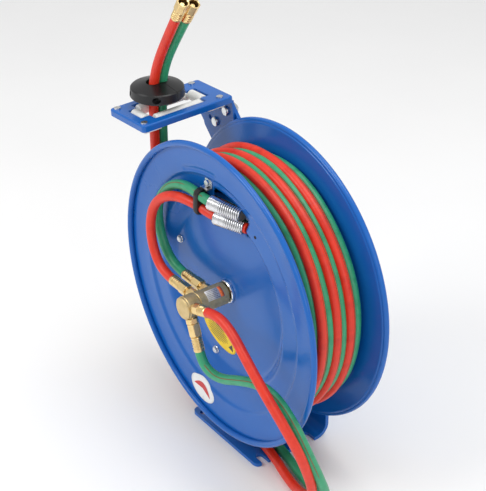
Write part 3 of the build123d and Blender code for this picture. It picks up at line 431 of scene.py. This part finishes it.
PITCH = 0.0212
winding("winding_fuel_outer", RED, -0.0292, PITCH, 0.1706, math.pi, 3.42, (0, 0.011), enter=0.168)
winding("winding_oxygen_outer", GREEN, -0.0165, PITCH, 0.1655, math.pi, 2.82, (0, 0.007), enter=0.1675)
winding("winding_fuel_second", RED, -0.0380, 0.0222, 0.1580, 0.2, 3.4, (0.006, 0.006))
winding("winding_oxygen_second", GREEN, -0.0386, 0.0226, 0.1568, 1.80, 3.40, (0.006, 0.006),
        proud=0.0046)
web("web_fuel_outer", -0.0292, PITCH, 0.1706, math.pi, 3.42, (0, 0.011), enter=0.168)
web("web_oxygen_outer", -0.0165, PITCH, 0.1655, math.pi, 2.82, (0, 0.007), enter=0.1675, side=-2.5)
winding("winding_fuel_third", RED, -0.0340, 0.0222, 0.1465, 2.4, 3.2, (0, 0))
winding("winding_oxygen_third", GREEN, -0.0310, 0.0222, 0.1450, 3.9, 3.1, (0, 0))


# ------------------------------------------------------------------ pressed discs
def blend_step(r, a, c, lo, hi):
    return lo + (hi - lo) * ease((r - a) / (c - a))


def disc_y(r):
    """Outer face of a pressed disc at a radius, all in metres."""
    if r < 0.120:
        return blend_step(r, 0.1105, 0.1315, 0.035, 0.047) if r > 0.1105 else 0.035
    if r < 0.1315:
        return blend_step(r, 0.1105, 0.1315, 0.035, 0.047)
    if r < 0.1565:
        return 0.047
    if r < 0.1622:
        return blend_step(r, 0.1565, 0.1622, 0.047, 0.050)
    return 0.050 + 0.0022 * ease((r - 0.170) / 0.030)


def emboss(r, a):
    """Short pressed arc groove in the flange near the clamp tab."""
    lo, hi = math.radians(91.5), math.radians(114.0)
    d = min(a - lo, hi - a)
    if d < -0.03 or abs(r - 0.1655) > 0.0035:
        return 0.0
    return 0.0011 * math.cos((r - 0.1655) / 0.0035 * math.pi / 2) * ease(d / 0.03 + 1)


def pressed_disc(name, side):
    radii = [0.0152, 0.0175, 0.022, 0.030, 0.045, 0.060, 0.075, 0.090, 0.100, 0.106, 0.109]
    radii += [0.1105 + 0.0021 * k for k in range(0, 11)]
    radii += [0.135, 0.140, 0.145, 0.149, 0.153, 0.1565, 0.1579, 0.1593, 0.1607, 0.1622]
    radii += [0.1632, 0.1643, 0.1655, 0.1667, 0.1678, 0.169, 0.173, 0.178, 0.184, 0.190, 0.195, 0.1985]
    n = 360
    bm = bmesh.new()
    rows = []
    for r in radii:
        row = []
        for k in range(n):
            a = 2 * math.pi * k / n
            y = disc_y(r)
            if side < 0:
                y -= emboss(r, a)
            row.append(bm.verts.new((r * math.cos(a), side * y, H + r * math.sin(a))))
        rows.append(row)
    for i, (p, q) in enumerate(zip(rows, rows[1:])):
        ra, rb = radii[i], radii[i + 1]
        for k in range(n):
            if side < 0 and ra > 0.1085 and rb < 0.1495 and 64 <= k < 94:
                mid = (ra + rb) / 2
                t = min(k + 0.5 - 64, 94 - k - 0.5) * math.radians(1) * mid
                w = 0.020 - abs(mid - 0.129)
                if t > 0.006 or w > 0.006 or math.hypot(0.006 - t, 0.006 - w) < 0.006:
                    continue
            j = (k + 1) % n
            bm.faces.new((p[k], p[j], q[j], q[k]))
    me = bpy.data.meshes.new(name)
    bmesh.ops.recalc_face_normals(bm, faces=bm.faces)
    for f in bm.faces:
        f.smooth = True
    bm.to_mesh(me)
    bm.free()
    o = add(bpy.data.objects.new(name, me))
    me.materials.append(BLUE)
    thick = o.modifiers.new("sheet", "SOLIDIFY")
    thick.thickness = 0.0016
    thick.offset = 1.0 if me.polygons[20].normal.y * side < 0 else -1.0
    return o


def rim(name, side):
    """Rolled edge of a disc: a bead with its curled lip just inside."""
    bm = bmesh.new()
    n, m = 240, 28
    rows = []
    for k in range(n):
        a = 2 * math.pi * k / n
        row = []
        for j in range(m):
            t = 2 * math.pi * j / m
            r = 0.199 + 0.0040 * math.cos(t)
            y = side * (0.0549 + 0.0040 * math.sin(t))
            row.append(bm.verts.new((r * math.cos(a), y, H + r * math.sin(a))))
        rows.append(row)
    for k in range(n):
        for j in range(m):
            bm.faces.new((rows[k][j], rows[k][(j + 1) % m], rows[(k + 1) % n][(j + 1) % m],
                          rows[(k + 1) % n][j]))
    return finish_mesh(bm, name, BLUE)


for side, label in ((-1, "front"), (1, "back")):
    sheet = pressed_disc(label + "_disc_pressing", side)
    bead = rim(label + "_disc_bead", side)
    for o in (sheet, bead):
        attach(o, "drum")
        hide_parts(label + "_disc")

# hex washer-head screws that hold the front disc to the core, and the plain hole, drawn as a thin near-black disc
# of painted shade; the slit is cut in the front pressing above
for k, a in enumerate((165, 255)):
    c, s = math.cos(math.radians(a)), math.sin(math.radians(a))
    x, z = 0.1085 * c, H + 0.1085 * s
    w = turned(f"disc_screw_flange_{k}", (x, -0.0350, z), (0, -1, 0),
               [(0, 0.0052), (0.0006, 0.0054), (0.0011, 0.0050), (0.0013, 0.0040)], ZINC, 40)
    h = hexed(f"disc_screw_head_{k}", (x, -0.0362, z), (0, -1, 0), 0.0072, 0.0026, ZINC, chamfer=0.0006,
              spin=0.3 * k)
    for o in (w, h):
        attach(o, "drum")
# painted shade: the hole is a thin near-black disc laid on the pressing, not an opening
for name, x, z, r in (("disc_hole_painted_shade", 0.0751, 0.1172, 0.0021),):
    o = turned(name, (x, -(disc_y(math.hypot(x, z)) + 0.00015), H + z), (0, -1, 0),
               [(0, r), (0.0001, r * 0.98)], HOLE_SHADE, 32)
    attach(o, "drum")


# ------------------------------------------------------------------ stickers
def patch(name, centre, tangent, radial_dir, a, c, mat, lift, surface, shape=None, rings=10, n=64):
    """Thin sticker laid on the disc: an ellipse or another outline, following the pressing."""
    bm = bmesh.new()
    cx, cz = centre
    rows = []
    for i in range(rings + 1):
        f = i / rings
        row = []
        for k in range(n):
            t = 2 * math.pi * k / n
            px, pz = (a * math.cos(t), c * math.sin(t)) if shape is None else shape(t)
            x = cx + (tangent[0] * px + radial_dir[0] * pz) * f
            z = cz + (tangent[1] * px + radial_dir[1] * pz) * f
            row.append(bm.verts.new((x, -(surface(math.hypot(x, z)) + lift), H + z)))
            if f == 0:
                break
        rows.append(row)
    for k in range(n):
        bm.faces.new((rows[0][0], rows[1][k], rows[1][(k + 1) % n]))
    for p, q in zip(rows[1:], rows[2:]):
        for k in range(n):
            j = (k + 1) % n
            bm.faces.new((p[k], p[j], q[j], q[k]))
    o = finish_mesh(bm, name, mat)
    th = o.modifiers.new("film", "SOLIDIFY")
    th.thickness = 0.00012
    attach(o, "drum")
    return o


wa = math.radians(256.5)
wt, wr = (-math.sin(wa), math.cos(wa)), (math.cos(wa), math.sin(wa))
wc = (0.1735 * math.cos(wa), 0.1735 * math.sin(wa))
patch("flange_sticker", wc, wt, wr, 0.0265, 0.0165, WHITE, 0.0003, disc_y)


def swoosh(t):
    """Plain crescent, thick in the middle."""
    u = math.cos(t)
    mid = -0.0035 + 0.0085 * u * u
    half = 0.0042 * (1 - u * u) + 0.0004
    return (0.0185 * u, mid + half * (1 if math.sin(t) > 0 else -1) * abs(math.sin(t)) ** 0.5 - 0.001)


patch("flange_sticker_mark", wc, wt, wr, 0, 0, SWOOSH, 0.0006, disc_y, shape=swoosh)
ya = math.radians(-18)
yt, yr = (math.cos(ya), math.sin(ya)), (-math.sin(ya), math.cos(ya))
yc = (-0.0200, -0.0752)
patch("warning_oval", yc, yt, yr, 0.0370, 0.0172, YELLOW, 0.0002, disc_y)
for k, (dx, dz, w, h) in enumerate(((-0.005, 0.0095, 0.014, 0.0008), (-0.004, 0.0062, 0.019, 0.0006),
                                    (-0.003, 0.0030, 0.022, 0.0006), (-0.003, -0.0002, 0.023, 0.0006),
                                    (-0.004, -0.0034, 0.021, 0.0006), (-0.005, -0.0068, 0.018, 0.0006),
                                    (-0.006, -0.0102, 0.012, 0.0006))):
    c2 = (yc[0] + yt[0] * dx + yr[0] * dz, yc[1] + yt[1] * dx + yr[1] * dz)
    patch(f"warning_line_{k}", c2, yt, yr, w, h, INK, 0.0004, disc_y, rings=2, n=24)


def triangle(t):
    k = int(((t / (2 * math.pi)) % 1.0) * 3)
    f = ((t / (2 * math.pi)) % 1.0) * 3 - k
    p = [(0.0, 0.0052), (-0.0052, -0.0040), (0.0052, -0.0040), (0.0, 0.0052)]
    return (p[k][0] + (p[k + 1][0] - p[k][0]) * f, p[k][1] + (p[k + 1][1] - p[k][1]) * f)


tc = (yc[0] + yt[0] * 0.0275, yc[1] + yt[1] * 0.0275)
patch("warning_triangle", tc, yt, yr, 0, 0, INK, 0.0004, disc_y, shape=triangle, rings=2, n=48)


# ------------------------------------------------------------------ swivel fittings
def radial_dir(deg):
    return Vector((math.cos(math.radians(deg)), 0, math.sin(math.radians(deg))))


def radial_pt(y, deg, r):
    d = radial_dir(deg)
    return (d.x * r / 1000, y / 1000, H + d.z * r / 1000)


def fitted(o, body, node):
    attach(o, body)
    if node:
        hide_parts(node)
    return o


for tag, y, ferrule_end in (("fuel", -75.5, 64.5), ("oxygen", -55.0, 66.5)):
    d = radial_dir(180)
    fitted(hexed(tag + "_drum_adapter", radial_pt(y, 180, 14.8), d, 0.0138, 0.0092, BRASS, spin=0.5),
           "drum", "whip_adapters")
    fitted(turned(tag + "_drum_neck", radial_pt(y, 180, 12), d,
                  [(0, 0.0064), (0.0115, 0.0064), (0.0122, 0.0060), (0.0172, 0.0060)], BRASS), "drum",
           "whip_adapters")
    fitted(hexed(tag + "_drum_nut", radial_pt(y, 180, 29), d, 0.0143, 0.0150, BRASS, spin=0.2), "drum",
           "whip_nuts")
    fitted(ferrule(tag + "_drum_ferrule", radial_pt(y, 180, ferrule_end), -d, (ferrule_end - 43.6) / 1000,
                   BRASS), "drum", "whip_ferrules")
fd, od = radial_dir(17), radial_dir(-69)
fitted(turned("fuel_inlet_collar", radial_pt(-94.5, 17, 11), fd,
              [(0, 0.0058), (0.0040, 0.0058), (0.0041, 0.0070), (0.0050, 0.0074), (0.0068, 0.0074),
               (0.0074, 0.0070)], BRASS), "frame", "inlet_adapters")
fitted(hexed("fuel_inlet_nut", radial_pt(-94.5, 17, 18), fd, 0.0143, 0.0110, BRASS, spin=0.35), "frame",
       "inlet_nuts")
fitted(ferrule("fuel_inlet_ferrule", radial_pt(-94.5, 17, 43.4), -fd, 0.0148, BRASS), "frame",
       "inlet_ferrules")
fitted(hexed("oxygen_inlet_adapter", radial_pt(-94.5, -69, 15.2), od, 0.0146, 0.0068, BRASS, spin=0.2),
       "frame", "inlet_adapters")
fitted(turned("oxygen_inlet_neck", radial_pt(-94.5, -69, 11), od, [(0, 0.0058), (0.0115, 0.0058)], BRASS),
       "frame", "inlet_adapters")
fitted(hexed("oxygen_inlet_nut", radial_pt(-94.5, -69, 22.2), od, 0.0143, 0.0168, BRASS, spin=0.1),
       "frame", "inlet_nuts")
fitted(ferrule("oxygen_inlet_ferrule", radial_pt(-94.5, -69, 59.5), -od, 0.0206, BRASS), "frame",
       "inlet_ferrules")


def band(name, r, y0, y1, a0, a1, mat, n=32):
    """Strip of foil round part of the swivel's body."""
    bm = bmesh.new()
    rows = []
    for y in (y0, y1):
        rows.append([bm.verts.new((r * math.cos(math.radians(a0 + (a1 - a0) * k / n)), y,
                                   H + r * math.sin(math.radians(a0 + (a1 - a0) * k / n))))
                     for k in range(n + 1)])
    for k in range(n):
        bm.faces.new((rows[0][k], rows[0][k + 1], rows[1][k + 1], rows[1][k]))
    o = finish_mesh(bm, name, mat)
    th = o.modifiers.new("film", "SOLIDIFY")
    th.thickness = 0.0001
    th.offset = 0.0
    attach(o, "drum")
    return o


band("swivel_label", 0.01468, -0.0735, -0.0490, 22, 80, FOIL)
band("swivel_label_end", 0.01479, -0.0545, -0.0494, 23, 79, ORANGE)
for k in range(6):
    a = 27 + 8.4 * k
    band(f"swivel_label_line_{k}", 0.01479, -0.0722, -0.0562 - 0.002 * (k % 2), a, a + 2.6, FOIL_INK, n=6)


# ------------------------------------------------------------------ spring guards and clamp
def guard(name, start, end, turns, r0, r1, wire, open_from):
    """Tapered wire guard: closed coils first, then coils that open out, with a dark sleeve of painted shade inside
    the coil.
    """
    s, e = Vector(start), Vector(end)
    u, v, w = axes(e - s)
    length = (e - s).length
    weights, total = [], 0.0
    steps = turns * 16
    for k in range(steps + 1):
        weights.append(total)
        total += 1.0 + 1.5 * ease((k / steps - open_from) / 0.25)
    pts = []
    for k in range(steps + 1):
        f = weights[k] / weights[-1]
        a = 2 * math.pi * k / 16
        r = r0 + (r1 - r0) * f
        pts.append(s + w * (length * f) + (u * math.cos(a) + v * math.sin(a)) * r)
    o = strand(name, pts, SPRING, wire, order=4, resolution=2, bevel=4)
    # painted shade: a dark sleeve inside the coil, over the hose, where shade falls
    shade_sleeve = turned(name + "_shade", s, w, [(0.0004, r0 - 0.0011), (length - 0.0004, r1 - 0.0009)], GUARD_SHADE, 40)
    for piece in (o, shade_sleeve):
        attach(piece, "drum")
        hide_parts("hose_guards")
    return o


guard("fuel_guard_coil", at(4, -51.6, 114.2), at(50.5, -42.7, 117.2), 22, 0.0091, 0.0080, 0.00115, 0.45)
guard("oxygen_guard_coil", at(-2, -55.6, 133.1), at(49, -46.4, 134.7), 22, 0.0091, 0.0080, 0.00115, 0.40)


def clamp_band():
    """Cushioned clamp: a rounded rubber band round both lines with its metal strap outside."""
    out = []
    cy, cz = -0.0579, 0.1269
    tilt = math.radians(87)
    for name, grow, x0, x1, mat in (("clamp_cushion", -0.0011, -0.0272, -0.0188, BLACK),
                                    ("clamp_strap", -0.0005, -0.0254, -0.0206, BLACK)):
        bm = bmesh.new()
        rows = []
        n = 64
        half, r = 0.0092, 0.0076 + grow
        for x, inset in ((x0, 0.0012), (x0 + 0.0012, 0.0), (x1 - 0.0012, 0.0), (x1, 0.0012)):
            row = []
            for k in range(n):
                t = 2 * math.pi * k / n
                off = half if math.cos(t) > 0 else -half
                p = off + (r + 0.0018 - inset) * math.cos(t)
                q = (r + 0.0018 - inset) * math.sin(t)
                y = cy + p * math.cos(tilt) - q * math.sin(tilt)
                z = cz + p * math.sin(tilt) + q * math.cos(tilt)
                row.append(bm.verts.new((x, y, H + z)))
            rows.append(row)
        for p, q in zip(rows, rows[1:]):
            for k in range(n):
                j = (k + 1) % n
                bm.faces.new((p[k], p[j], q[j], q[k]))
        bm.faces.new(rows[0])
        bm.faces.new(rows[-1])
        o = finish_mesh(bm, name, mat)
        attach(o, "drum")
        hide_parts("hose_clamp")
        out.append(o)
    return out


clamp_band()

# ------------------------------------------------------------------ carried-over CAD nodes
LOOK = {
    "base_frame": BLUE, "guide_arm": BLUE, "guide_bracket": BLUE, "drum_core": BLUE,
    "arm_fasteners": ZINC, "bracket_fasteners": ZINC, "roller_pins": ZINC, "guide_rivets": ZINC,
    "axle_fasteners": ZINC, "drum_screws": ZINC, "ratchet_screws": ZINC, "pawl_pin": ZINC,
    "clamp_bracket": ZINC, "clamp_screw": ZINC, "ball_screws": ZINC,
    "roller_blocks": NYLON, "roller_left": NYLON, "roller_right": NYLON, "roller_front": NYLON,
    "roller_back": NYLON,
    "main_axle": STEEL, "axle_spacer": STEEL, "bearing_hubs": STEEL, "ratchet_wheel": STEEL,
    "pawl": STEEL, "spring_case": STEEL, "drum_bushings": BUSH, "main_spring": SPRING,
    "pawl_spring": SPRING,
    "swivel_stem": BRASS_DARK, "inlet_manifold": BRASS_DARK, "manifold_cap": BRASS_DARK,
    "swivel_rotor": BRASS_DARK, "hub_ring": CHROME, "hub_seal": BLACK,
    "ball_stop_front": BLACK, "ball_stop_rear": BLACK,
}
for node, mat in LOOK.items():
    o = NODES[node]
    if not o.material_slots:
        o.data.materials.append(mat)
    for s in o.material_slots:
        s.material = mat

# ------------------------------------------------------------------ floor and light
bm = bmesh.new()
bmesh.ops.create_grid(bm, x_segments=2, y_segments=2, size=4.0)
floor = finish_mesh(bm, "floor", material("pale_floor", [(0.95, 0.95, 0.95), (0.97, 0.97, 0.97)], 0.75,
                                          spot=3, grain=60, bump=0.02))
floor.location = (0, 0, -0.0004)

world = bpy.data.worlds.new("studio")
bpy.context.scene.world = world
world.use_nodes = True
world.node_tree.nodes["Background"].inputs["Color"].default_value = (1.0, 1.0, 1.0, 1)
world.node_tree.nodes["Background"].inputs["Strength"].default_value = 0.62


def area(name, loc, target, size, power):
    d = bpy.data.lights.new(name, "AREA")
    d.shape = "RECTANGLE"
    d.size, d.size_y = size
    d.energy = power
    o = bpy.data.objects.new(name, d)
    o.location = loc
    o.rotation_euler = (Vector(target) - Vector(loc)).to_track_quat("-Z", "Y").to_euler()
    return add(o)


area("key", (-0.6, -1.9, 1.9), (0, 0, 0.25), (1.2, 0.9), 19.5)
area("fill", (2.2, -0.4, 1.2), (0, 0, 0.25), (0.9, 1.4), 8)
area("top", (0.3, 0.3, 2.3), (0, 0, 0.2), (1.4, 1.4), 19.5)
bpy.context.scene.view_settings.view_transform = "Standard"
